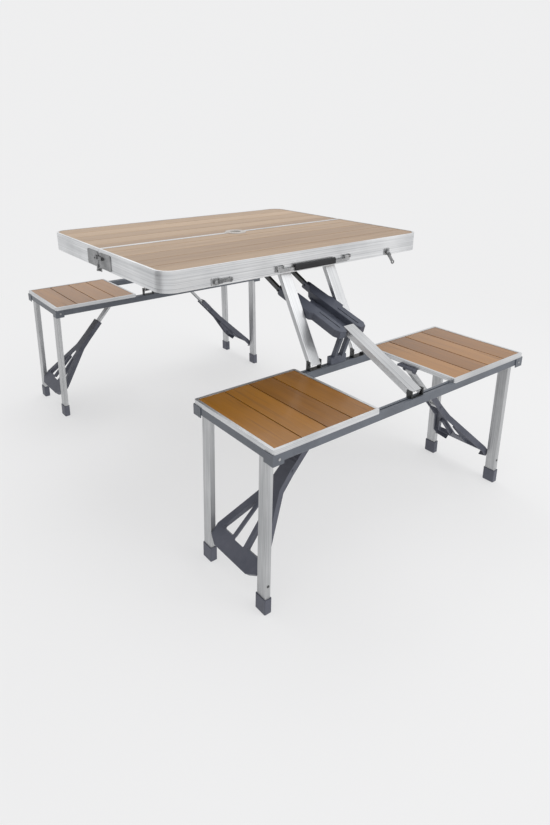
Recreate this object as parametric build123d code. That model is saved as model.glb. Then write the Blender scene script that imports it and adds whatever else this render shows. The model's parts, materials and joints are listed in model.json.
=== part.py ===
"""Folding aluminium picnic table: two hinged tray halves with a wooden top, four seats on two benches.

X runs along the table, Y from one bench to the other, Z up, in millimetres. The origin is on the
ground under the middle of the table.
"""
from build123d import *
from math import atan2, cos, degrees, hypot, radians, sin
import os

os.makedirs("parts", exist_ok=True)

# Table
TABLE_L = 855.0
TABLE_W = 670.0
TABLE_TOP = 663.4
RIM_H = 50.0
RIM_WALL = 2.2
RIM_LIP = 5.7
RIM_BOTTOM = TABLE_TOP - RIM_H
CORNER_R = 40.0
SEAM_GAP = 0.5
TOP_SLATS = 5
TOP_SLAT_PITCH = 68.5
SLAT_T = 3.2
BOARD_T = 3.5
SLAT_GAP = 2.4
BORE_R = 16.0
COLLAR_R = 31.0

# Benches
SEAT_TOP = 399.6
FRAME_H = 10.5
SEAT_X = (129.0, 416.0)
SEAT_Y = (429.0, 708.2)
RAIL_W = 20.0
RAIL_H = 20.0
RAIL_TOP = SEAT_TOP - FRAME_H
RAIL_Z = RAIL_TOP - RAIL_H / 2
INNER_RAIL_Y = 441.0
OUTER_RAIL_Y = 696.2
BENCH_MID_Y = (INNER_RAIL_Y + OUTER_RAIL_Y) / 2
SEAT_SLATS = 4

# Legs
LEG_X, LEG_Z = 403.6, 377.5
LEG_DX, LEG_DY = 13.7, 29.3
LEG_WALL = 1.4
LEG_INSET = RAIL_W / 2 + LEG_DY / 2 + 0.35
LEAN = 1.0
LEG_PIN_R = 3.0
FOOT_H = 38.0
FOOT_WALL = 2.2

# Braces: a bar from under the seat to a knee, and a plate from the knee down to the legs
FIXED_X, FIXED_Z = 137.0, 374.0
BASE_REACH = 300.0
BASE_HALF = 85.0
BAR_W, BAR_T = 24.0, 7.0
BRACE_PIN_R = 2.5
PLATE_WEB = (5.5, 8.5)
KNEE_HALF = 18.0
PLATE_HEAD = 60.0

# Struts and stay of each side: (Y, Z) of each pivot, front side
STRUT_TOP = (-316.0, 617.0)
STRUT_FOOT = (-441.0, 404.0)
STRUT_X = 76.0
STRUT_W, STRUT_T = 34.0, 12.0
STAY_FOOT = (-694.0, 397.6)
STAY_KNEE = (-497.0, 484.0)
STAY_FORK = (-268.0, 550.0)
STAY_HEAD = (-120.0, 619.0)
STAY_BAR_W, STAY_BAR_T = 34.0, 16.0
STAY_WALL = 2.0
SHELL_HALF = 50.0
SHELL_BOSS = 58.4
SHELL_DEPTH = 20.0
SHELL_CHANNEL = 19.0
ARM_X = 46.0
ARM_W, ARM_T = 8.0, 12.0
STAY_PIN_R = 2.5

# Small fittings
HANDLE_X = 10.0
HANDLE_HALF = 123.0
GRIP_HALF = 69.0
FITTING_Z = 628.0
LATCH_X = {-1: -293.0, 1: 286.0}
LATCH_Z = 624.0
LATCH_TURN = {-1: 0.0, 1: -52.0}
LATCH_REACH = 42.0
SEAM_PIN_Z = RIM_BOTTOM - 4.2
SEAM_HOOK_Y = -22.0
RIVET_R = 3.2


def save(shape, name):
    """Write one node's STEP file."""
    export_step(shape, f"parts/{name}.step")


def block(x0, x1, y0, y1, z0, z1):
    """A box between two corners."""
    centre = Pos((x0 + x1) / 2, (y0 + y1) / 2, (z0 + z1) / 2)
    return centre * Box(abs(x1 - x0), abs(y1 - y0), abs(z1 - z0))


def rod(radius, length, at, axis="Z"):
    """A cylinder centred at a point, along one axis."""
    turn = {"X": Rot(0, 90, 0), "Y": Rot(90, 0, 0), "Z": Rot(0, 0, 0)}[axis]
    return Pos(*at) * turn * Cylinder(radius, length)


def other_side(shape):
    """The same thing on the back side, turned half round."""
    return Rot(0, 0, 180) * shape


# ---------------------------------------------------------------- table halves

def half_outline(inset, seam_inset=None):
    """Plan of the front half, set in from the rim, with round outer corners."""
    seam_inset = inset if seam_inset is None else seam_inset
    length = TABLE_L - 2 * inset
    front, back = -TABLE_W / 2 + inset, -SEAM_GAP - seam_inset
    face = Pos(0, (front + back) / 2) * Rectangle(length, back - front)
    outer = face.vertices().filter_by_position(Axis.Y, front - 1, front + 1)
    return fillet(outer, max(CORNER_R - inset, 4))


def slab(outline, z0, z1):
    """A flat plate of a given plan."""
    return extrude(Pos(0, 0, z0) * outline, z1 - z0)


def table_rim():
    """Drawn aluminium rim: a wall with a lip over the boards, a ledge under them and a foot."""
    board_z = TABLE_TOP - 0.8 - SLAT_T - BOARD_T
    wall = slab(half_outline(0), RIM_BOTTOM, TABLE_TOP)
    wall -= slab(half_outline(RIM_WALL), RIM_BOTTOM - 1, TABLE_TOP + 1)
    rim = wall
    for inset, z0, z1 in (
        (RIM_LIP, TABLE_TOP - 0.7, TABLE_TOP),
        (12.0, board_z - 1.6, board_z),
        (9.0, RIM_BOTTOM, RIM_BOTTOM + 1.6),
    ):
        rim += slab(half_outline(0), z0, z1) - slab(half_outline(inset), z0 - 1, z1 + 1)
    for z in (TABLE_TOP - 10.5, RIM_BOTTOM + 8.5):
        band = slab(half_outline(-1), z - 0.5, z + 0.5) - slab(half_outline(0.5), z - 1, z + 1)
        rim -= band
    rim -= rod(BORE_R + 1.5, 80, (0, 0, TABLE_TOP - 20))
    return rim - rod(COLLAR_R + 0.2, 8.6, (0, 0, TABLE_TOP))


def top_board():
    """The dark board under the slats."""
    z1 = TABLE_TOP - 0.8 - SLAT_T
    board = slab(half_outline(RIM_WALL + 0.2), z1 - BOARD_T, z1)
    return board - rod(BORE_R + 1.5, 40, (0, 0, z1))


def top_slats():
    """The bamboo slats of the front half, one solid each."""
    z1 = TABLE_TOP - 0.8
    plan = slab(half_outline(RIM_LIP + 0.2), z1 - SLAT_T, z1)
    low = -TABLE_W / 2 + RIM_LIP
    pitch = TOP_SLAT_PITCH
    slats = []
    for i in range(TOP_SLATS):
        y0 = low + i * pitch + SLAT_GAP / 2 if i else -TABLE_W
        y1 = low + (i + 1) * pitch - SLAT_GAP / 2 if i < TOP_SLATS - 1 else 0
        strip = plan & block(-TABLE_L, TABLE_L, y0, y1, z1 - 20, z1 + 20)
        slats.append(strip - rod(COLLAR_R + 0.2, 40, (0, 0, z1)))
    return Compound(children=slats)


def umbrella_collar():
    """Half of the plastic ring round the umbrella hole."""
    z1 = TABLE_TOP + 1.2
    z0 = TABLE_TOP - 0.8 - SLAT_T
    ring = rod(COLLAR_R, z1 - z0, (0, 0, (z0 + z1) / 2))
    ring = chamfer(ring.edges().group_by(Axis.Z)[-1], 1.4)
    ring += rod(BORE_R + 1.3, 22, (0, 0, z1 - 11))
    ring -= rod(BORE_R, 60, (0, 0, z1))
    return ring & block(-60, 60, -60, -SEAM_GAP, 500, 800)


# ---------------------------------------------------------------- seam hinges and end hooks

def hinge_leaf():
    """Steel leaves of the front half, one at each end, with the knuckle under the rim."""
    leaves = []
    x0 = TABLE_L / 2
    for side in (-1, 1):
        plate = Pos(side * (x0 + 0.8), -38, 635) * Box(1.6, 68, 40)
        plate = fillet(plate.edges().filter_by(Axis.X), 6)
        tab = block(side * x0, side * (x0 + 1.6), -13, -4.0, SEAM_PIN_Z - 4, 620)
        knuckle = rod(4.4, 1.6, (side * (x0 + 0.8), 0, SEAM_PIN_Z), "X")
        arm = block(side * x0, side * (x0 + 1.6), -13, 0, SEAM_PIN_Z - 4, SEAM_PIN_Z + 3.0)
        leaf = plate + tab + arm + knuckle
        leaf -= rod(2.0, 12, (side * x0, 0, SEAM_PIN_Z), "X")
        leaf -= rod(2.2, 12, (side * x0, SEAM_HOOK_Y, 640), "X")
        leaves.append(leaf)
    return leaves


def hinge_leaf_back():
    """Steel leaves of the back half, outside the front ones at the knuckle."""
    leaves = []
    for side in (-1, 1):
        x0 = side * TABLE_L / 2
        inner, outer = x0 + side * 1.9, x0 + side * 3.5
        plate = Pos(x0 + side * 0.8, 38, 635) * Box(1.6, 68, 40)
        plate = fillet(plate.edges().filter_by(Axis.X), 6)
        step = block(x0, outer, 6.5, 13, SEAM_PIN_Z - 4, 622)
        arm = block(inner, outer, 0, 13, SEAM_PIN_Z - 4, SEAM_PIN_Z + 3.0)
        knuckle = rod(4.4, 1.6, ((inner + outer) / 2, 0, SEAM_PIN_Z), "X")
        leaf = plate + step + arm + knuckle
        leaves.append(leaf - rod(2.05, 12, (x0, 0, SEAM_PIN_Z), "X"))
    return leaves


def seam_pins():
    """Pins with a ball head on which the two halves fold."""
    pins = []
    for side in (-1, 1):
        x0 = side * TABLE_L / 2
        shank = rod(2.0, 5.4, (x0 + side * 2.7, 0, SEAM_PIN_Z), "X")
        head = Pos(x0 + side * 6.6, 0, SEAM_PIN_Z) * Sphere(3.2)
        pins.append(shank + head)
    return pins


def seam_hook(side):
    """Swivelling hook that crosses the seam and keeps the top flat."""
    x0 = side * (TABLE_L / 2 + 2.2)
    arm = Pos(0, 0, 0) * Box(2.0, 52, 9)
    arm = fillet(arm.edges().filter_by(Axis.X), 4.2)
    notch = Pos(0, 22, -3.4) * Box(4, 5.0, 6)
    tab = Pos(side * 2.2, 8, 0) * Box(3.4, 4, 8)
    hook = Pos(x0 + side * 1.0, SEAM_HOOK_Y + 21, 640) * (arm - notch + tab)
    return hook - rod(2.25, 12, (x0, SEAM_HOOK_Y, 640), "X")


def seam_hook_studs():
    """Studs that the hooks turn on, riveted to the front leaves."""
    studs = []
    for side in (-1, 1):
        x0 = side * TABLE_L / 2
        studs.append(
            rod(2.2, 6.4, (x0 + side * 3.2, SEAM_HOOK_Y, 640), "X")
            + rod(4.0, 1.2, (x0 + side * 6.2, SEAM_HOOK_Y, 640), "X")
        )
    return studs


def seam_catches():
    """Studs on the back leaves that the hooks drop over."""
    studs = []
    for side in (-1, 1):
        x0 = side * TABLE_L / 2
        studs.append(
            rod(2.0, 6.0, (x0 + side * 3.0, -SEAM_HOOK_Y - 1.0, 637), "X")
        )
    return studs


# ---------------------------------------------------------------- handle and latches

def handle_brackets():
    """Two riveted steel clips that the handle swings in."""
    clips = []
    y = -TABLE_W / 2
    for side in (-1, 1):
        x = HANDLE_X + side * (HANDLE_HALF - 8)
        plate = Pos(x, y - 0.9, FITTING_Z) * Box(26, 1.8, 17)
        plate = fillet(plate.edges().filter_by(Axis.Y), 2.5)
        clip = plate
        for ear in (-9.0, 9.0):
            lug = block(x + ear - 1.2, x + ear + 1.2, y - 8.5, y - 0.5, FITTING_Z, FITTING_Z + 8)
            clip += lug
        clip -= rod(1.55, 40, (x, y - 5.4, FITTING_Z + 4.6), "X")
        clips.append(clip)
    return clips


def handle_strap():
    """Sprung steel strap of the handle, with a cross pin in each end."""
    y = -TABLE_W / 2 - 5.4
    z = FITTING_Z + 4.6
    half = HANDLE_HALF - 8
    strap = block(HANDLE_X - half, HANDLE_X + half, y - 0.9, y + 0.9, z - 14, z - 5.6)
    for side in (-1, 1):
        x = HANDLE_X + side * half
        strap += block(x - 7.2, x + 7.2, y - 0.9, y + 0.9, z - 12, z + 1)
        strap += rod(2.2, 14.4, (x, y, z), "X")
        strap += rod(1.5, 21.5, (x, y, z), "X")
    return strap


def handle_grip():
    """Black grip moulded round the strap."""
    y = -TABLE_W / 2 - 5.4
    z = FITTING_Z - 2.0
    grip = Pos(HANDLE_X, y, z) * Box(2 * GRIP_HALF, 9.4, 17)
    grip = fillet(grip.edges().filter_by(Axis.X), 4.0)
    slot = block(HANDLE_X - 90, HANDLE_X + 90, y - 0.9, y + 0.9, FITTING_Z - 9.4, FITTING_Z - 1)
    return grip - slot


def latch_plates():
    """Riveted base plates of the two case latches, each with the stud its hook turns on."""
    plates = []
    y = -TABLE_W / 2
    for side in (-1, 1):
        x = LATCH_X[side]
        plate = Pos(x, y - 0.8, LATCH_Z) * Box(22, 1.6, 18)
        plate = fillet(plate.edges().filter_by(Axis.Y), 3)
        plate += rod(2.2, 6.0, (x, y - 3.0, LATCH_Z), "Y")
        plate += rod(4.0, 1.2, (x, y - 5.6, LATCH_Z), "Y")
        plates.append(plate)
    return plates


def latch_hook(side):
    """Steel hook of a case latch, with a ring at its end."""
    hook = Pos(LATCH_REACH / 2, 0, 0) * Box(LATCH_REACH, 2.4, 9)
    hook += rod(6.5, 2.4, (0, 0, 0), "Y") + rod(6.0, 2.4, (LATCH_REACH, 0, 0), "Y")
    hook += Pos(13, -1.2, 0) * Box(10, 3.2, 11)
    hook -= rod(2.25, 12, (0, 0, 0), "Y") + rod(3.2, 12, (LATCH_REACH, 0, 0), "Y")
    place = Pos(LATCH_X[side], -TABLE_W / 2 - 3.2, LATCH_Z) * Rot(0, -LATCH_TURN[side], 0)
    return place * hook


def catch_plates():
    """Catches on the back rim that the latch loops pull over."""
    catches = []
    y = TABLE_W / 2
    for side in (-1, 1):
        x = side * LATCH_X[1]
        plate = Pos(x, y + 0.8, 628) * Box(26, 1.6, 20)
        plate = fillet(plate.edges().filter_by(Axis.Y), 3)
        lip = block(x - 9, x + 9, y + 0.5, y + 5, 630, 632)
        lip += block(x - 9, x + 9, y + 3.4, y + 5, 625, 632)
        catches.append(plate + lip)
    return catches


# ---------------------------------------------------------------- benches

def bench_rails():
    """The two long steel rails under a pair of seats, slotted on top."""
    rails = []
    for y in (-INNER_RAIL_Y, -OUTER_RAIL_Y):
        rail = Pos(0, y, RAIL_Z) * Box(2 * SEAT_X[1], RAIL_W, RAIL_H)
        rail = chamfer(rail.edges().filter_by(Axis.X), 1.5)
        rail -= Pos(0, y, RAIL_TOP) * Box(2 * SEAT_X[0] - 12, 4, 7)
        rail -= Pos(0, y, RAIL_Z) * Box(2 * SEAT_X[1] + 2, RAIL_W - 4, RAIL_H - 10)
        for side in (-1, 1):
            rail -= rod(LEG_PIN_R, RAIL_W + 2, (side * LEG_X, y, LEG_Z), "Y")
        rails.append(rail)
    return rails


def bench_ends():
    """Steel end pieces across the rails, outside the legs."""
    ends = []
    for side in (-1, 1):
        x1 = side * SEAT_X[1]
        ends.append(block(x1 - side * 3.2, x1, -OUTER_RAIL_Y + 10, -INNER_RAIL_Y - 10, 371, RAIL_TOP))
    return ends


def corner_caps():
    """Moulded corners that close the outer rail ends, with a screw."""
    caps = []
    for side in (-1, 1):
        for y, out in ((-OUTER_RAIL_Y - 10, -1), (-INNER_RAIL_Y + 10, 1)):
            x1 = side * SEAT_X[1]
            cap = block(x1 - side * 26, x1 + side * 2, y, y + out * 2.2, 364, RAIL_TOP)
            cap += block(x1, x1 + side * 2, y, y - out * 26, 364, RAIL_TOP)
            cap = chamfer(cap.edges().group_by(Axis.Z)[0], 0.8)
            caps.append(cap)
    return caps


def seat_frame(x0, x1):
    """Aluminium edging of one seat, with a ledge for the panel."""
    y0, y1 = -SEAT_Y[1], -SEAT_Y[0]
    frame = block(x0, x1, y0, y1, RAIL_TOP, SEAT_TOP)
    frame = fillet(frame.edges().filter_by(Axis.Z), 5)
    frame -= block(x0 + 7, x1 - 7, y0 + 7, y1 - 7, RAIL_TOP + 2.4, SEAT_TOP + 1)
    frame -= block(x0 + 22, x1 - 22, y0 + 22, y1 - 22, RAIL_TOP - 1, SEAT_TOP)
    return frame


def seat_board(x0, x1):
    """Dark board on the ledge of the edging."""
    z0 = RAIL_TOP + 2.4
    return block(x0 + 7.2, x1 - 7.2, -SEAT_Y[1] + 7.2, -SEAT_Y[0] - 7.2, z0, z0 + 3.6)


def seat_slats(x0, x1):
    """The wooden slats of one seat, laid across the bench."""
    z0 = RAIL_TOP + 6.0
    low, high = x0 + 7.2, x1 - 7.2
    pitch = (high - low) / SEAT_SLATS
    slats = []
    for i in range(SEAT_SLATS):
        a = low + i * pitch + (1.2 if i else 0)
        b = low + (i + 1) * pitch - (1.2 if i < SEAT_SLATS - 1 else 0)
        slats.append(block(a, b, -SEAT_Y[1] + 7.2, -SEAT_Y[0] - 7.2, z0, SEAT_TOP - 0.5))
    return Compound(children=slats)


def leg_pair(side):
    """Two rectangular tubes, round at the top where they turn on their pins."""
    legs = []
    for y in (-OUTER_RAIL_Y + LEG_INSET, -INNER_RAIL_Y - LEG_INSET):
        length = LEG_Z - 5.0
        tube = Pos(0, y, -length / 2) * Box(LEG_DX, LEG_DY, length)
        tube = chamfer(tube.edges().filter_by(Axis.Z), 1.0)
        tube += Pos(0, y, 0) * Rot(90, 0, 0) * Cylinder(LEG_DX / 2, LEG_DY)
        core = Pos(0, y, -length / 2) * Box(LEG_DX - 2 * LEG_WALL, LEG_DY - 2 * LEG_WALL, length + 4)
        tube -= core
        tube -= Pos(0, y, 0) * Rot(90, 0, 0) * Cylinder(LEG_PIN_R + 0.05, LEG_DY + 2)
        legs.append(Pos(side * LEG_X, 0, LEG_Z) * Rot(0, -side * LEAN, 0) * tube)
    return legs


def leg_pins(side):
    """Pins that hold the legs between the rails."""
    pins = []
    for rail, inward in ((-OUTER_RAIL_Y, 1), (-INNER_RAIL_Y, -1)):
        y0 = rail - inward * (RAIL_W / 2)
        y1 = rail + inward * (RAIL_W / 2 + LEG_DY + 2.0)
        pins.append(rod(LEG_PIN_R, abs(y1 - y0), (side * LEG_X, (y0 + y1) / 2, LEG_Z), "Y"))
    return pins


def feet(side):
    """Plastic shoes on the ends of the legs, cut level with the ground."""
    shoes = []
    for y in (-OUTER_RAIL_Y + LEG_INSET, -INNER_RAIL_Y - LEG_INSET):
        dx, dy = LEG_DX + 2 * FOOT_WALL, LEG_DY + 2 * FOOT_WALL
        shoe = Pos(0, y, -LEG_Z + FOOT_H / 2 - 3) * Box(dx, dy, FOOT_H + 6)
        shoe = fillet(shoe.edges().filter_by(Axis.Z), 2.5)
        core = Pos(0, y, -LEG_Z + 5 + FOOT_H) * Box(LEG_DX, LEG_DY, 2 * FOOT_H)
        core = chamfer(core.edges().filter_by(Axis.Z), 1.0)
        shoe -= core
        shoe = Pos(side * LEG_X, 0, LEG_Z) * Rot(0, -side * LEAN, 0) * shoe
        shoe &= block(-600, 600, -900, 900, 0, 200)
        shoes.append(chamfer(shoe.edges().group_by(Axis.Z)[0], 1.6))
    return shoes


# ---------------------------------------------------------------- braces

LEG_TURN = radians(90 - LEAN)
BASE_X = LEG_X + BASE_REACH * cos(LEG_TURN)
BASE_Z = LEG_Z - BASE_REACH * sin(LEG_TURN)
BRACE_SPAN = hypot(BASE_X - FIXED_X, BASE_Z - FIXED_Z)
FOLDED_SPAN = FIXED_X - (LEG_X - BASE_REACH)
PLATE_L = (BRACE_SPAN + FOLDED_SPAN) / 2
BAR_L = (BRACE_SPAN - FOLDED_SPAN) / 2
BRACE_DROP = degrees(atan2(FIXED_Z - BASE_Z, BASE_X - FIXED_X))


def brace_place(side, along):
    """Where brace pieces go: local X runs down the brace, local Z is its outer face."""
    at = Pos(FIXED_X, -BENCH_MID_Y, FIXED_Z) * Rot(0, BRACE_DROP, 0) * Pos(along, 0, 0)
    return lambda shape: at * shape if side > 0 else mirror(at * shape, Plane.YZ)


def brace_block(side):
    """Plastic block under the seat that the brace bar turns in."""
    z1 = RAIL_TOP
    base = block(FIXED_X - 19, FIXED_X + 19, -BENCH_MID_Y - 26, -BENCH_MID_Y + 26, z1 - 5, z1)
    for out in (-1, 1):
        y0 = -BENCH_MID_Y + out * (BAR_W / 2 + 0.4)
        base += block(FIXED_X - 7, FIXED_X + 7, y0, y0 + out * 5, FIXED_Z, z1 - 4)
        base += rod(5, 5, (FIXED_X, y0 + out * 2.5, FIXED_Z), "Y")
    base -= rod(BRACE_PIN_R, 60, (FIXED_X, -BENCH_MID_Y, FIXED_Z), "Y")
    return base if side > 0 else mirror(base, Plane.YZ)


def brace_pin(side):
    """Pin of the brace bar in its block."""
    return rod(BRACE_PIN_R, BAR_W + 10.8, (side * FIXED_X, -BENCH_MID_Y, FIXED_Z), "Y")


def brace_bar(side):
    """Aluminium channel bar between the block and the knee."""
    place = brace_place(side, 0)
    bar = Pos(BAR_L / 2, 0, 0) * Box(BAR_L, BAR_W, BAR_T)
    bar += rod(BAR_T / 2, BAR_W, (0, 0, 0), "Y") + rod(BAR_T / 2, BAR_W, (BAR_L, 0, 0), "Y")
    bar -= Pos(BAR_L / 2, 0, -2.2) * Box(BAR_L - 26, BAR_W - 5, BAR_T - 2)
    for x in (0, BAR_L):
        bar -= rod(BRACE_PIN_R + 0.05, BAR_W + 2, (x, 0, 0), "Y")
    return place(bar)


def plate_outline(grow):
    """Half widths along the brace plate: a narrow head over the bar, wide at the legs."""
    foot = PLATE_L + 16
    pts = [(-PLATE_HEAD, KNEE_HALF), (8, KNEE_HALF), (52, KNEE_HALF + 3), (PLATE_L - 26, BASE_HALF),
           (foot - 14, BASE_HALF), (foot, BASE_HALF - 26)]
    upper = [(x, w + grow) for x, w in pts]
    lower = [(x, -w) for x, w in reversed(upper)]
    return make_face(Polyline(*upper, *lower, close=True))


def brace_plate(side):
    """Moulded plate with three slots, ribbed on the inner face, forked at the knee."""
    place = brace_place(side, BAR_L)
    low, high = PLATE_WEB
    rim_low = -7.5
    web = extrude(Pos(0, 0, low) * plate_outline(0), high - low)
    rim = extrude(Pos(0, 0, rim_low) * plate_outline(0), high - rim_low)
    rim -= extrude(Pos(0, 0, rim_low - 1) * plate_outline(-3.2), low - rim_low + 1)
    rim -= Pos(-PLATE_HEAD / 2, 0, rim_low / 2 + low / 2 - 1) * Box(
        PLATE_HEAD + 8, 2 * KNEE_HALF - 6.4, low - rim_low + 2)
    plate = web + rim
    slots = (
        [(74, -9), (PLATE_L - 22, -17), (PLATE_L - 22, 17), (74, 9)],
        [(88, 18), (PLATE_L - 26, 27), (PLATE_L - 26, BASE_HALF - 18)],
        [(88, -18), (PLATE_L - 26, -27), (PLATE_L - 26, -BASE_HALF + 18)],
    )
    for points in slots:
        hole = make_face(Polyline(*points, close=True))
        hole = fillet(hole.vertices(), 3.0)
        edge = extrude(Pos(0, 0, rim_low + 3) * offset(hole, 2.6), high - rim_low - 3)
        if len(points) == 3:
            plate += edge
        plate -= extrude(Pos(0, 0, rim_low - 5) * hole, high - rim_low + 10)
    for x in (-54, -45, -36, -27, -18):
        plate += Pos(x, 0, high + 0.6) * Box(3.2, 2 * KNEE_HALF - 4, 1.6)
    return place(plate)


def knee_pin(side):
    """Rivet through the knee of a brace."""
    place = brace_place(side, BAR_L)
    pin = rod(BRACE_PIN_R, 2 * KNEE_HALF + 2, (0, 0, 0), "Y")
    for out in (-1, 1):
        pin += rod(4.2, 1.4, (0, out * (KNEE_HALF + 1.0), 0), "Y")
    return place(pin)


# ---------------------------------------------------------------- struts and stay

def in_side_plane(foot, head, x):
    """Frame whose local X runs from foot to head in the YZ plane and local Y along the table."""
    dy, dz = head[0] - foot[0], head[1] - foot[1]
    length = hypot(dy, dz)
    along = Vector(0, dy / length, dz / length)
    return Location(Plane(origin=(x, foot[0], foot[1]), x_dir=along, z_dir=along.cross(Vector(-1, 0, 0))))


def channel(length, width, height, wall):
    """Channel section lying on its back, open along local -Z."""
    shape = Pos(length / 2, 0, 0) * Box(length, width, height)
    shape = fillet(shape.edges().filter_by(Axis.X).group_by(Axis.Z)[-1], 2.0)
    return shape - Pos(length / 2, 0, -wall) * Box(length + 2, width - 2 * wall, height)


def board_underside():
    """Height of the underside of the table's board."""
    return TABLE_TOP - 0.8 - SLAT_T - BOARD_T


def struts():
    """The two aluminium uprights of one side."""
    length = hypot(STRUT_TOP[0] - STRUT_FOOT[0], STRUT_TOP[1] - STRUT_FOOT[1])
    pair = []
    for side in (-1, 1):
        place = in_side_plane(STRUT_FOOT, STRUT_TOP, side * STRUT_X)
        bar = Pos(-6, 0, 0) * channel(length + 12, STRUT_W, STRUT_T, 1.8)
        for end in (0, length):
            bar -= rod(STAY_PIN_R, STRUT_W + 4, (end, 0, 0), "Y")
        pair.append(place * bar)
    return pair


def strut_clips():
    """Steel clevises with pins at the foot and head of each strut."""
    clips = []
    ears_in, ears_out = STRUT_W / 2 + 0.2, STRUT_W / 2 + 2.2
    top = board_underside()
    for side in (-1, 1):
        x = side * STRUT_X
        y, z = STRUT_FOOT
        head_y, head_z = STRUT_TOP
        foot = block(x - ears_out, x + ears_out, y - 8, y + 8, RAIL_TOP, RAIL_TOP + 1.6)
        head = block(x - ears_out, x + ears_out, head_y - 5, head_y + 16, top - 2, top)
        for ear in (-1, 1):
            x0, x1 = x + ear * ears_in, x + ear * ears_out
            foot += block(x0, x1, y - 7, y + 7, RAIL_TOP, z + 9)
            head += block(x0, x1, head_y - 5, head_y + 8, head_z - 6, top)
        foot += rod(STAY_PIN_R, 2 * ears_out + 3, (x, y, z), "X")
        head += rod(STAY_PIN_R, 2 * ears_out + 3, (x, *STRUT_TOP), "X")
        clips += [foot, head]
    return clips


def stay_bar():
    """Aluminium channel from the outer rail to the knee."""
    place = in_side_plane(STAY_FOOT, STAY_KNEE, 0)
    length = hypot(STAY_KNEE[0] - STAY_FOOT[0], STAY_KNEE[1] - STAY_FOOT[1])
    bar = Pos(-2, 0, 0) * channel(length + 24, STAY_BAR_W, STAY_BAR_T, STAY_WALL)
    for end in (6, length):
        bar -= rod(STAY_PIN_R, STAY_BAR_W + 4, (end, 0, 0), "Y")
    return place * bar


def stay_clip():
    """Steel clevis that holds the stay on the outer rail."""
    place = in_side_plane(STAY_FOOT, STAY_KNEE, 0)
    y = STAY_FOOT[0]
    ears_in, ears_out = STAY_BAR_W / 2 + 0.3, STAY_BAR_W / 2 + 3.3
    clip = block(-ears_out, ears_out, y - 8, y - 4.5, RAIL_TOP, RAIL_TOP + 2)
    for ear in (-1, 1):
        clip += block(ear * ears_in, ear * ears_out, y - 8, y + 7, RAIL_TOP, STAY_FOOT[1] + 9)
    return clip + place * rod(STAY_PIN_R, 2 * ears_out, (6, 0, 0), "Y")


def shell_place():
    """Frame of the knee shell: local X from the knee to the fork, local Z out of its open side."""
    return in_side_plane(STAY_KNEE, STAY_FORK, 0)


def stay_shell():
    """Moulded knee of the stay: two hollow wings either side of a channel for the folded bar."""
    fork = hypot(STAY_FORK[0] - STAY_KNEE[0], STAY_FORK[1] - STAY_KNEE[1])
    half, boss, inner = SHELL_HALF, SHELL_BOSS, SHELL_CHANNEL
    outline = [(14, inner), (2, inner + 5), (4, half - 8), (18, half), (98, half), (104, boss),
               (148, boss), (156, half + 4), (fork - 6, half + 4), (fork + 8, half - 2),
               (fork + 8, ARM_X - 7), (fork - 22, ARM_X - 9), (fork - 44, inner)]
    high = STAY_BAR_T / 2 + 2
    low = high - SHELL_DEPTH
    body = Pos(fork / 2 - 6, 0, low + 1.4) * Box(fork - 90, 2 * inner + 4, 2.8)
    body -= Pos(fork - 52, 0, low) * Cylinder(16, 12)
    for out in (-1, 1):
        face = make_face(Polyline(*[(x, out * w) for x, w in outline], close=True))
        wing = extrude(Pos(0, 0, low) * face, high - low)
        wing = chamfer(wing.edges().group_by(Axis.Z)[-1], 1.2)
        hollow = offset(face, -2.6)
        wing -= extrude(Pos(0, 0, low - 1) * hollow, SHELL_DEPTH - 2.6)
        wing -= Pos(58, out * (inner + 12), high) * Box(78, 3.2, 12)
        wing -= rod(STAY_PIN_R, 60, (fork, out * ARM_X, 0), "Y")
        wing -= Pos(fork + 2, out * ARM_X, 0) * Box(36, ARM_W + 1, 40)
        wing -= rod(STAY_PIN_R, 30, (0, out * inner, 0), "Y")
        body += wing
    body += rod(STAY_PIN_R, 2 * inner + 8, (30, 0, low + 6), "Y")
    return shell_place() * body


def stay_arms():
    """Two steel arms from the shell's fork to the underside of the table."""
    place = in_side_plane(STAY_FORK, STAY_HEAD, 0)
    length = hypot(STAY_HEAD[0] - STAY_FORK[0], STAY_HEAD[1] - STAY_FORK[1])
    arms = []
    for out in (-1, 1):
        arm = Pos(length / 2, out * ARM_X, 0) * Box(length + 12, ARM_W, ARM_T)
        arm = fillet(arm.edges().filter_by(Axis.Y), 4)
        for end in (0, length):
            arm -= rod(STAY_PIN_R, ARM_W + 2, (end, out * ARM_X, 0), "Y")
        arms.append(place * arm)
        arms.append(rod(STAY_PIN_R, ARM_W + 12, (out * ARM_X, *STAY_FORK), "X"))
    return arms


def stay_head_clips():
    """Steel clips with pins on the underside of the table that hold the arms."""
    y, z = STAY_HEAD
    top = board_underside()
    clips = []
    for out in (-1, 1):
        x = out * ARM_X
        clip = block(x - 13, x + 13, y - 12, y + 12, top - 2, top)
        for ear in (-1, 1):
            clip += block(x + ear * 4.3, x + ear * 6.6, y - 8, y + 8, z - 7, top)
        clips.append(clip + rod(STAY_PIN_R, 16, (x, y, z), "X"))
    return clips


def stay_link():
    """Moulded link that props the shell from the inner rail."""
    foot = block(-26, 26, -451, -436, RAIL_TOP, RAIL_TOP + 22)
    foot = chamfer(foot.edges().filter_by(Axis.X), 2)
    link = foot
    start, top = (-445.0, RAIL_TOP + 16), (-470.0, 474.0)
    place = in_side_plane(start, top, 0)
    length = hypot(top[0] - start[0], top[1] - start[1])
    for out in (-1, 1):
        leg = Pos(length / 2, out * 13.5, 0) * Box(length + 6, 9, 12)
        leg = fillet(leg.edges().filter_by(Axis.Y), 2)
        link += place * leg
    return link


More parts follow.
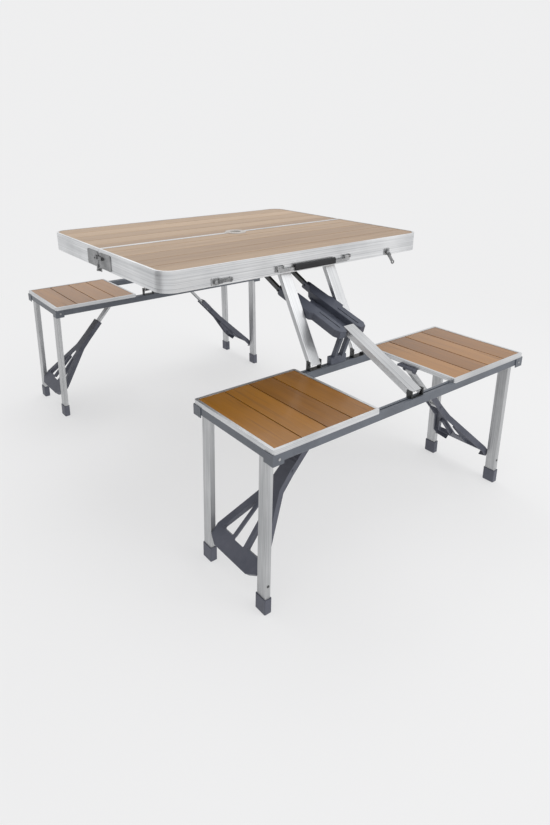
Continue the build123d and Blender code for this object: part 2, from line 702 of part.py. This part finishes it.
def rivets():
    """Rivets that hold the handle clips to the rim."""
    heads = []
    y = -TABLE_W / 2 - 1.8
    for side in (-1, 1):
        for across in (-8.5, 8.5):
            x = HANDLE_X + side * (HANDLE_HALF - 8 + across)
            heads.append(rod(RIVET_R, 2.4, (x, y, FITTING_Z - 3.5), "Y"))
    return heads


def corner_screws():
    """Screws in the moulded corners of the bench."""
    heads = []
    for side in (-1, 1):
        for y in (-OUTER_RAIL_Y - 12.7, -INNER_RAIL_Y + 12.7):
            heads.append(rod(3.0, 1.0, (side * (SEAT_X[1] - 14), y, 377), "Y"))
    return heads


# ---------------------------------------------------------------- write the nodes

def write_side(name, turn):
    """Everything that the front and the back side have in common."""
    def put(shape, node):
        solids = shape if isinstance(shape, list) else [shape]
        save(Compound(children=[turn(s) for s in solids]), node)

    put(table_rim(), f"table_rim_{name}")
    put(top_board(), f"table_board_{name}")
    put(list(top_slats().solids()), f"table_slats_{name}")
    put(umbrella_collar(), f"umbrella_collar_{name}")
    put(struts(), f"struts_{name}")
    put(strut_clips() + [stay_clip()] + stay_head_clips(), f"strut_and_stay_clips_{name}")
    put(stay_bar(), f"stay_bar_{name}")
    put(stay_shell(), f"stay_shell_{name}")
    put(stay_arms(), f"stay_arms_{name}")
    put(stay_link(), f"stay_link_{name}")
    put(bench_rails() + bench_ends(), f"bench_rails_{name}")
    put(corner_caps(), f"corner_caps_{name}")
    seats = [(SEAT_X[0], SEAT_X[1]), (-SEAT_X[1], -SEAT_X[0])]
    put([seat_frame(*span) for span in seats], f"seat_frames_{name}")
    put([seat_board(*span) for span in seats], f"seat_boards_{name}")
    put([s for span in seats for s in seat_slats(*span).solids()], f"seat_slats_{name}")
    put(leg_pins(-1) + leg_pins(1) + corner_screws(), f"bench_pins_{name}")
    put([brace_block(s) for s in (-1, 1)] + [brace_pin(s) for s in (-1, 1)], f"brace_blocks_{name}")


def write_leg_end(name, turn, side):
    """One folding pair of legs with its brace."""
    def put(solids, node):
        save(Compound(children=[turn(s) for s in solids]), node)

    put(leg_pair(side), f"legs_{name}")
    put(feet(side), f"feet_{name}")
    put([brace_bar(side)], f"brace_bar_{name}")
    put([brace_plate(side), knee_pin(side)], f"brace_plate_{name}")


def same(shape):
    """Leave a front-side shape where it is."""
    return shape


write_side("front", same)
write_side("back", other_side)
write_leg_end("front_left", same, -1)
write_leg_end("front_right", same, 1)
write_leg_end("back_left", other_side, 1)
write_leg_end("back_right", other_side, -1)
save(Compound(children=hinge_leaf() + seam_pins() + seam_hook_studs()), "seam_hinge_front")
save(Compound(children=hinge_leaf_back() + seam_catches()), "seam_hinge_back")
save(seam_hook(-1), "seam_hook_left")
save(seam_hook(1), "seam_hook_right")
save(Compound(children=handle_brackets() + latch_plates() + rivets()), "rim_fittings_front")
save(handle_strap(), "handle_strap")
save(handle_grip(), "handle_grip")
save(latch_hook(-1), "latch_left")
save(latch_hook(1), "latch_right")
save(Compound(children=catch_plates()), "catch_plates_back")
print("brace bar", round(BAR_L, 3), "plate", round(PLATE_L, 3), "drop", round(BRACE_DROP, 4))
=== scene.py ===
import json
import math

import bpy
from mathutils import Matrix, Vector


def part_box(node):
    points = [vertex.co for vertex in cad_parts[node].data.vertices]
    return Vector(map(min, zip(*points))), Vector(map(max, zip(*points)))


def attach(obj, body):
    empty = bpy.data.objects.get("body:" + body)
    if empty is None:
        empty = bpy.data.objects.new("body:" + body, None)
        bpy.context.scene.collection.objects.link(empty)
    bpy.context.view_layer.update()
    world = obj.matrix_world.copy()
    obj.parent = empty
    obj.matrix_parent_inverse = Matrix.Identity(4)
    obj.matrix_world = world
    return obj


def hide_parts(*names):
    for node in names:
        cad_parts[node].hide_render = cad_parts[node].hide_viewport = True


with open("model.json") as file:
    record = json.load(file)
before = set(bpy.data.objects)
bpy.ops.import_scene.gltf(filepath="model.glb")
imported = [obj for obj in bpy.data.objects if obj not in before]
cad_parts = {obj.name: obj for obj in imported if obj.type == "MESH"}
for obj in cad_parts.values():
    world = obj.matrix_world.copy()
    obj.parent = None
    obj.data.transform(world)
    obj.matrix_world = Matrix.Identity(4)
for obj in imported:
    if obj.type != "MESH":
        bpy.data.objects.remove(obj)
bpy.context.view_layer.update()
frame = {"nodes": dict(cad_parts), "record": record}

# ---------------------------------------------------------------- camera and light
# A white studio: an even pale surround, one window-like panel at the handle side, a panel
# overhead, and a grey card on the left that keeps the end of the table from washing out.

camera_data = bpy.data.cameras.new("view")
camera = bpy.data.objects.new("view", camera_data)
bpy.context.collection.objects.link(camera)
camera.location = (-1.025, -1.466, 0.9651)
camera.rotation_euler = (math.pi / 2 - 0.3458, 0, -0.6475)
camera_data.lens = 26.33
camera_data.sensor_width = 36
camera_data.shift_x = 0.0206
camera_data.shift_y = -0.0872
bpy.context.scene.camera = camera
bpy.context.scene.view_settings.view_transform = "Standard"

SURROUND = (0.86, 0.86, 0.865, 1)
sky = bpy.data.worlds.new("studio")
bpy.context.scene.world = sky
sky.use_nodes = True
sky.node_tree.nodes["Background"].inputs["Color"].default_value = SURROUND
sky.node_tree.nodes["Background"].inputs["Strength"].default_value = 1.0

for name, place, aim, size, power in (
    ("front_panel", (0.9, -3.0, 2.2), (0, 0, 0.4), 1.8, 26),
    ("top_panel", (0.5, 1.4, 3.2), (-0.1, -0.3, 0.4), 1.6, 20),
):
    lamp_data = bpy.data.lights.new(name, "AREA")
    lamp_data.size = size
    lamp_data.energy = power
    lamp = bpy.data.objects.new(name, lamp_data)
    bpy.context.collection.objects.link(lamp)
    lamp.location = place
    lamp.rotation_euler = (Vector(aim) - Vector(place)).to_track_quat("-Z", "Y").to_euler()


# ---------------------------------------------------------------- floor and card
# Part of the studio, not of the table: a matt floor that glows evenly further out, so that
# it runs into the surround, and the grey card out of view on the left. Finishes are written
# as sums on sockets, each wrapped in a Link.

class Link:
    """A shader socket that can stand in sums and feed other nodes."""

    def __init__(self, tree, socket):
        self.tree = tree
        self.socket = socket

    def node(self, kind, settings, inputs, out=0):
        """Adds a node: its settings first, then values or links on its sockets."""
        made = self.tree.nodes.new(kind)
        for key, value in settings.items():
            if key == "stops":
                for place, colour in value[2:]:
                    made.color_ramp.elements.new(place)
                for stop, (place, colour) in zip(made.color_ramp.elements, sorted(value)):
                    stop.position = place
                    stop.color = colour
            else:
                setattr(made, key, value)
        for key, value in inputs.items():
            if isinstance(value, Link):
                self.tree.links.new(value.socket, made.inputs[key])
            else:
                made.inputs[key].default_value = value
        return Link(self.tree, made.outputs[out])

    def math(self, operation, *values):
        """A Math node on this socket and up to two more values."""
        return self.node("ShaderNodeMath", {"operation": operation}, dict(enumerate((self,) + values)))

    def __add__(self, other):
        return self.math("ADD", other)

    def __sub__(self, other):
        return self.math("SUBTRACT", other)

    def __mul__(self, other):
        return self.math("MULTIPLY", other)

    def __truediv__(self, other):
        return self.math("DIVIDE", other)

    def __gt__(self, other):
        return self.math("GREATER_THAN", other)

    def __lt__(self, other):
        return self.math("LESS_THAN", other)

    def axis(self, letter):
        """One coordinate of a vector."""
        return self.node("ShaderNodeSeparateXYZ", {}, {0: self}, "XYZ".index(letter))

    def noise(self, scale, stretch=(1, 1, 1), detail=4.0, roughness=0.5):
        """Noise on this vector, each axis first multiplied by its own factor."""
        spread = self.node("ShaderNodeMapping", {}, {0: self, "Scale": stretch})
        return self.node("ShaderNodeTexNoise", {}, {"Vector": spread, "Scale": scale,
                                                   "Detail": detail, "Roughness": roughness})

    def ramp(self, *stops):
        """Colour ramp with (place, colour) stops."""
        return self.node("ShaderNodeValToRGB", {"stops": stops}, {0: self})

    def mix(self, first, second):
        """Blend of two colours by this factor."""
        return self.node("ShaderNodeMix", {"data_type": "RGBA"}, {0: self, 6: first, 7: second}, 2)

    def bump(self, strength, distance):
        """Normal from this height."""
        return self.node("ShaderNodeBump", {}, {"Strength": strength, "Distance": distance,
                                                "Height": self})


def finish(name, **fixed):
    """A new material. Returns it, the object coordinates, and a function that fills sockets."""
    material = bpy.data.materials.new(name)
    material.use_nodes = True
    tree = material.node_tree
    shader = tree.nodes["Principled BSDF"]
    for key, value in fixed.items():
        shader.inputs[key.replace("_", " ")].default_value = value
    place = Link(tree, tree.nodes.new("ShaderNodeTexCoord").outputs["Object"])

    def fill(**links):
        for key, link in links.items():
            tree.links.new(link.socket, shader.inputs[key.replace("_", " ")])

    return material, place, fill


def grey(value, warm=1.0):
    """An opaque grey, cooler where warm is under 1."""
    return (value * warm, value, value / warm, 1)


bpy.ops.object.select_all(action="DESELECT")
bpy.ops.mesh.primitive_plane_add(size=80, location=(0, 0, 0))
floor = bpy.context.object
floor.name = "floor"
floor_paint, place, fill = finish("floor_paint", Roughness=0.95, Specular_IOR_Level=0.0)
fill(Base_Color=place.noise(0.8, detail=2).ramp((0.3, grey(0.87)), (0.7, grey(0.9))))
tree = floor_paint.node_tree
reach = place.node("ShaderNodeVectorMath", {"operation": "LENGTH"}, {0: place}, 1)
glow = reach.node("ShaderNodeEmission", {}, {"Color": SURROUND, "Strength": 1.0})
fade = reach.node("ShaderNodeMapRange", {}, {0: reach, 1: 0.5, 2: 2.2, 3: 0.62, 4: 1.0})
shown = fade.node("ShaderNodeMixShader", {},
                  {0: fade, 1: Link(tree, tree.nodes["Principled BSDF"].outputs[0]), 2: glow})
tree.links.new(shown.socket, tree.nodes["Material Output"].inputs[0])
floor.data.materials.append(floor_paint)

bpy.ops.object.select_all(action="DESELECT")
bpy.ops.mesh.primitive_plane_add(size=2.6, location=(-2.6, 0.6, 0.9), rotation=(0, math.radians(90), 0))
card = bpy.context.object
card.name = "card"
card.visible_camera = False
card_paint, place, fill = finish("card_paint", Roughness=0.9)
fill(Base_Color=place.noise(2, detail=2).ramp((0.3, grey(0.13)), (0.7, grey(0.17))))
card.data.materials.append(card_paint)


# ---------------------------------------------------------------- aluminium rims
# Each half of the table top is framed in satin drawn aluminium, bent round the corners, with
# two fine grooves along it and faint die lines from the drawing.

def dress(material, *starts):
    """Gives a finish to every CAD node whose name starts with one of these."""
    for name, item in frame["nodes"].items():
        if name.startswith(starts):
            item.data.materials.clear()
            item.data.materials.append(material)


def aluminium(name, along, low, high, rough=0.24):
    """Satin drawn aluminium with die lines along the axes named, as in "Z" or "XY"."""
    material, place, fill = finish(name, Metallic=0.9)
    stretch = [520, 520, 520]
    for letter in along:
        stretch["XYZ".index(letter)] = 2.4
    lines = place.noise(1, stretch, detail=3)
    cloud = place.noise(7, detail=3)
    fill(Base_Color=(lines * 0.62 + cloud * 0.38).ramp((0.36, grey(low, 0.98)), (0.62, grey(high, 0.99))),
         Roughness=lines * 0.16 + cloud * 0.12 + rough,
         Normal=lines.bump(0.2, 0.0004))
    return material


rim_metal = aluminium("rim_aluminium", "XY", 0.54, 0.84)
dress(rim_metal, "table_rim")


# ---------------------------------------------------------------- table slats
# Five bamboo strips run the length of each half, dark where their edges meet from the painted shade of the
# near-black board below. Every strip has its own tone, fine fibres, and a few darker streaks.

def bamboo(name, along, first, pitch, dark, light, streak, rough, coat, rich=None):
    """Bamboo in strips that repeat every pitch from first, both ways from the middle."""
    across = "Y" if along == "X" else "X"
    material, place, fill = finish(name, Coat_Weight=coat, Coat_Roughness=0.1)
    strip = ((place.axis(across).math("ABSOLUTE") - first) / pitch).math("FLOOR")
    corner = (place.axis(across) > 0) * 17
    if rich:
        corner = corner + (place.axis(along) > 0) * 31
    chance = strip.node("ShaderNodeTexWhiteNoise", {"noise_dimensions": "1D"}, {"W": strip + corner})
    slide = chance.node("ShaderNodeCombineXYZ", {}, {0: chance * 3, 1: chance * 5, 2: chance})
    shift = place.node("ShaderNodeVectorMath", {"operation": "ADD"}, {0: place, 1: slide})
    drawn = [110, 110, 110]
    drawn["XYZ".index(along)] = 3.0
    fibre = shift.noise(1, drawn, detail=6, roughness=0.62)
    finer = shift.noise(4.2, drawn, detail=2)
    broad = shift.noise(0.2, drawn, detail=3)
    tone = fibre * 0.4 + broad * 0.28 + chance * 0.2 + finer * 0.12
    colour = tone.ramp((0.3, dark), (0.68, light))
    if rich:
        near = (place.axis("X") < 0) * (place.axis("Y") < 0)
        colour = near.mix(colour, tone.ramp((0.3, rich[0]), (0.68, rich[1])))
    marks = ((fibre - 0.57).math("MAXIMUM", 0.0) * 6.0).math("MINIMUM", 0.6)
    fill(Base_Color=marks.mix(colour, streak),
         Roughness=fibre * 0.16 + rough,
         Normal=(fibre * 0.6 + finer * 0.4).bump(0.25, 0.0005))
    return material


def body_of(node):
    """The body that a CAD node moves with."""
    return next(body for body, names in frame["record"]["behaviour"]["bodies"].items() if node in names)


def softened(node, width, material):
    """Shows a CAD node as a copy of it with rounded edges."""
    piece = bpy.data.objects.new(node + "_skin", frame["nodes"][node].data.copy())
    bpy.context.collection.objects.link(piece)
    bpy.ops.object.select_all(action="DESELECT")
    piece.select_set(True)
    bpy.context.view_layer.objects.active = piece
    bpy.ops.object.mode_set(mode="EDIT")
    bpy.ops.mesh.select_all(action="SELECT")
    bpy.ops.mesh.remove_doubles(threshold=0.00001)
    bpy.ops.mesh.dissolve_limited(angle_limit=math.radians(0.5))
    bpy.ops.object.mode_set(mode="OBJECT")
    bpy.ops.object.modifier_add(type="BEVEL")
    bevel = piece.modifiers[-1]
    bevel.width = width
    bevel.segments = 2
    bevel.limit_method = "ANGLE"
    bevel.angle_limit = math.radians(40)
    bpy.ops.object.modifier_apply(modifier=bevel.name)
    bpy.ops.object.shade_smooth_by_angle(angle=math.radians(35))
    bpy.ops.object.modifier_add(type="WEIGHTED_NORMAL")
    piece.modifiers[-1].keep_sharp = True
    bpy.ops.object.modifier_apply(modifier=piece.modifiers[-1].name)
    piece.data.materials.clear()
    piece.data.materials.append(material)
    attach(piece, body_of(node))
    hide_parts(node)


TABLE_EDGE, TABLE_PITCH = 0.3293, 0.0685
top_wood = bamboo("top_bamboo", "X", TABLE_EDGE, TABLE_PITCH,
                  (0.25, 0.15, 0.078, 1), (0.51, 0.355, 0.22, 1), (0.17, 0.09, 0.042, 1),
                  rough=0.38, coat=0.08)
for half in ("front", "back"):
    softened("table_slats_" + half, 0.0007, top_wood)


# ---------------------------------------------------------------- boards under the slats
# Thin hardboard closes each half and each seat from below. Its near-black colour is painted shade:
# it shows as the dark shade line between two slats.

def coated(name, low, high, rough, grain, depth, shine=0.45):
    """A coloured skin with a fine grain and slow changes of tone."""
    material, place, fill = finish(name, Specular_IOR_Level=shine)
    fine = place.noise(grain, detail=3)
    slow = place.noise(14, detail=2)
    wear = place.noise(60, detail=5, roughness=0.7)
    fill(Base_Color=(slow * 0.6 + wear * 0.4).ramp((0.32, low), (0.68, high)),
         Roughness=fine * 0.16 + slow * 0.12 + rough,
         Normal=fine.bump(0.25, depth))
    return material


# Near-black colour of the boards: painted shade for the gaps between the slats.
gap_shade_board = coated("gap_shade_board", (0.02, 0.011, 0.006, 1), (0.035, 0.02, 0.011, 1), 0.6, 300, 0.0003, 0.2)
dress(gap_shade_board, "table_board", "seat_boards")


# ---------------------------------------------------------------- umbrella collar
# A pale moulded ring lines the umbrella hole in the middle of the table, half in each side.

collar_plastic = coated("collar_moulding", (0.44, 0.41, 0.38, 1), (0.55, 0.52, 0.49, 1), 0.4, 600, 0.0002)
for half in ("front", "back"):
    softened("umbrella_collar_" + half, 0.0005, collar_plastic)


# ---------------------------------------------------------------- hinges, hooks and latches
# Zinc plated pressings on the rims: the seam hinge with its ball-headed pin, the hook that
# locks the seam, and the two latches that keep the folded case shut.

def plated_steel(name, low, high):
    """Zinc plated pressings, slightly mottled, darker in spots."""
    material, place, fill = finish(name, Metallic=0.85)
    spangle = place.noise(260, detail=3)
    cloud = place.noise(38, detail=3)
    fill(Base_Color=(spangle * 0.45 + cloud * 0.55).ramp((0.38, grey(low, 0.98)), (0.62, grey(high, 0.99))),
         Roughness=spangle * 0.22 + 0.24,
         Normal=spangle.bump(0.2, 0.0003))
    return material


steel = plated_steel("plated_steel", 0.30, 0.52)
leaf_steel = plated_steel("hinge_steel", 0.17, 0.34)
dark_steel = plated_steel("dark_steel", 0.05, 0.11)
dress(leaf_steel, "seam_hinge", "seam_hook", "latch", "catch")
dress(steel, "rim_fittings", "bench_pins")
dress(dark_steel, "stay_arms", "strut_and")


# ---------------------------------------------------------------- handle
# The carrying handle: a dark spring-steel strap in two bright clips, with a soft black grip.

grip_plastic = coated("black_grip", (0.006, 0.006, 0.008, 1), (0.018, 0.018, 0.021, 1), 0.42, 500, 0.0004)
softened("handle_grip", 0.0016, grip_plastic)
dress(steel, "handle_strap")


# ---------------------------------------------------------------- bench rails
# Two dark powder-coated rails carry each pair of seats, with moulded caps on the corners.

rail_paint = coated("rail_paint", (0.085, 0.095, 0.115, 1), (0.125, 0.14, 0.165, 1), 0.26, 900, 0.0002, 0.6)
for half in ("front", "back"):
    softened("bench_rails_" + half, 0.0012, rail_paint)
dress(rail_paint, "corner_caps")


# ---------------------------------------------------------------- seats
# Each seat is four wide bamboo boards in an aluminium frame. The varnish is glossier
# than the table's, and the near left seat came from a darker batch.

frame_metal = aluminium("seat_aluminium", "XY", 0.52, 0.76)
dress(frame_metal, "seat_frames")
SEAT_EDGE, SEAT_PITCH = 0.1362, 0.06815
seat_wood = bamboo("seat_bamboo", "Y", SEAT_EDGE, SEAT_PITCH,
                   (0.20, 0.083, 0.017, 1), (0.42, 0.195, 0.048, 1), (0.13, 0.05, 0.01, 1),
                   rough=0.26, coat=0.2,
                   rich=((0.16, 0.058, 0.002, 1), (0.36, 0.148, 0.007, 1)))
for half in ("front", "back"):
    softened("seat_slats_" + half, 0.0009, seat_wood)


# ---------------------------------------------------------------- legs and shoes
# Rectangular aluminium tubes that fold inwards on pins, each with its foot in a moulded
# plastic shoe.

leg_metal = aluminium("leg_aluminium", "Z", 0.40, 0.62, 0.3)
dress(leg_metal, "legs_")
shoe_plastic = coated("shoe_moulding", (0.075, 0.08, 0.105, 1), (0.12, 0.125, 0.155, 1), 0.38, 700, 0.0003)
for half in ("front", "back"):
    for end in ("left", "right"):
        softened(f"feet_{half}_{end}", 0.0012, shoe_plastic)


# ---------------------------------------------------------------- shoe rivets
# A pop rivet above each shoe holds the foot of the leg: a thin flange with a low dome, on
# the face that looks away from the table.

TUBE_DEPTH = 0.0293
RIVET_X, RIVET_Z = 0.4090, 0.070
FLANGE_RADIUS, FLANGE_DEPTH = 0.0031, 0.0010
DOME_RADIUS, DOME_SQUASH = 0.0022, 0.62

for half, way in (("front", -1), ("back", 1)):
    for end, hand in (("left", -1), ("right", 1)):
        near, far = (corner[1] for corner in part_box(f"legs_{half}_{end}"))
        faces = (near, far - TUBE_DEPTH) if way < 0 else (far, near + TUBE_DEPTH)
        bpy.ops.object.select_all(action="DESELECT")
        made = []
        for face in faces:
            spot = (hand * RIVET_X, face, RIVET_Z)
            bpy.ops.mesh.primitive_cylinder_add(vertices=24, radius=FLANGE_RADIUS, depth=FLANGE_DEPTH,
                                                location=spot, rotation=(math.pi / 2, 0, 0))
            made.append(bpy.context.object)
            bpy.ops.mesh.primitive_uv_sphere_add(segments=20, ring_count=10, radius=DOME_RADIUS,
                                                 location=spot, scale=(1, DOME_SQUASH, 1))
            made.append(bpy.context.object)
        for item in made:
            item.select_set(True)
        bpy.context.view_layer.objects.active = made[0]
        bpy.ops.object.join()
        bpy.ops.object.transform_apply(location=True, rotation=True, scale=True)
        bpy.ops.object.shade_smooth_by_angle(angle=math.radians(30))
        rivets = bpy.context.object
        rivets.name = f"shoe_rivets_{half}_{end}"
        rivets.data.materials.append(dark_steel)
        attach(rivets, f"legs_{half}_{end}")


# ---------------------------------------------------------------- leg braces
# A short aluminium bar under the seat and a broad moulded plate down to the legs. The plate
# is ribbed inside, has three slots, and a ridged head where the thumb pushes to fold it.

bar_metal = aluminium("brace_aluminium", "X", 0.42, 0.64, 0.3)
dress(bar_metal, "brace_bar")
moulding = coated("grey_moulding", (0.07, 0.076, 0.10, 1), (0.115, 0.12, 0.15, 1), 0.36, 700, 0.0003)
dress(moulding, "brace_blocks")
for half in ("front", "back"):
    for end in ("left", "right"):
        softened(f"brace_plate_{half}_{end}", 0.0007, moulding)


# ---------------------------------------------------------------- struts and stay
# Two flat aluminium struts and a broad stay with a moulded shell tie each bench to its half
# of the table. Two dark arms run from the shell to the table, and a moulded link ties the
# shell to the inner rail.

strut_metal = aluminium("strut_aluminium", "YZ", 0.50, 0.74)
dress(strut_metal, "struts", "stay_bar")
shell_plastic = coated("shell_moulding", (0.062, 0.07, 0.095, 1), (0.10, 0.11, 0.14, 1), 0.34, 700, 0.0003)
dress(shell_plastic, "stay_link")
for half in ("front", "back"):
    softened("stay_shell_" + half, 0.0009, shell_plastic)
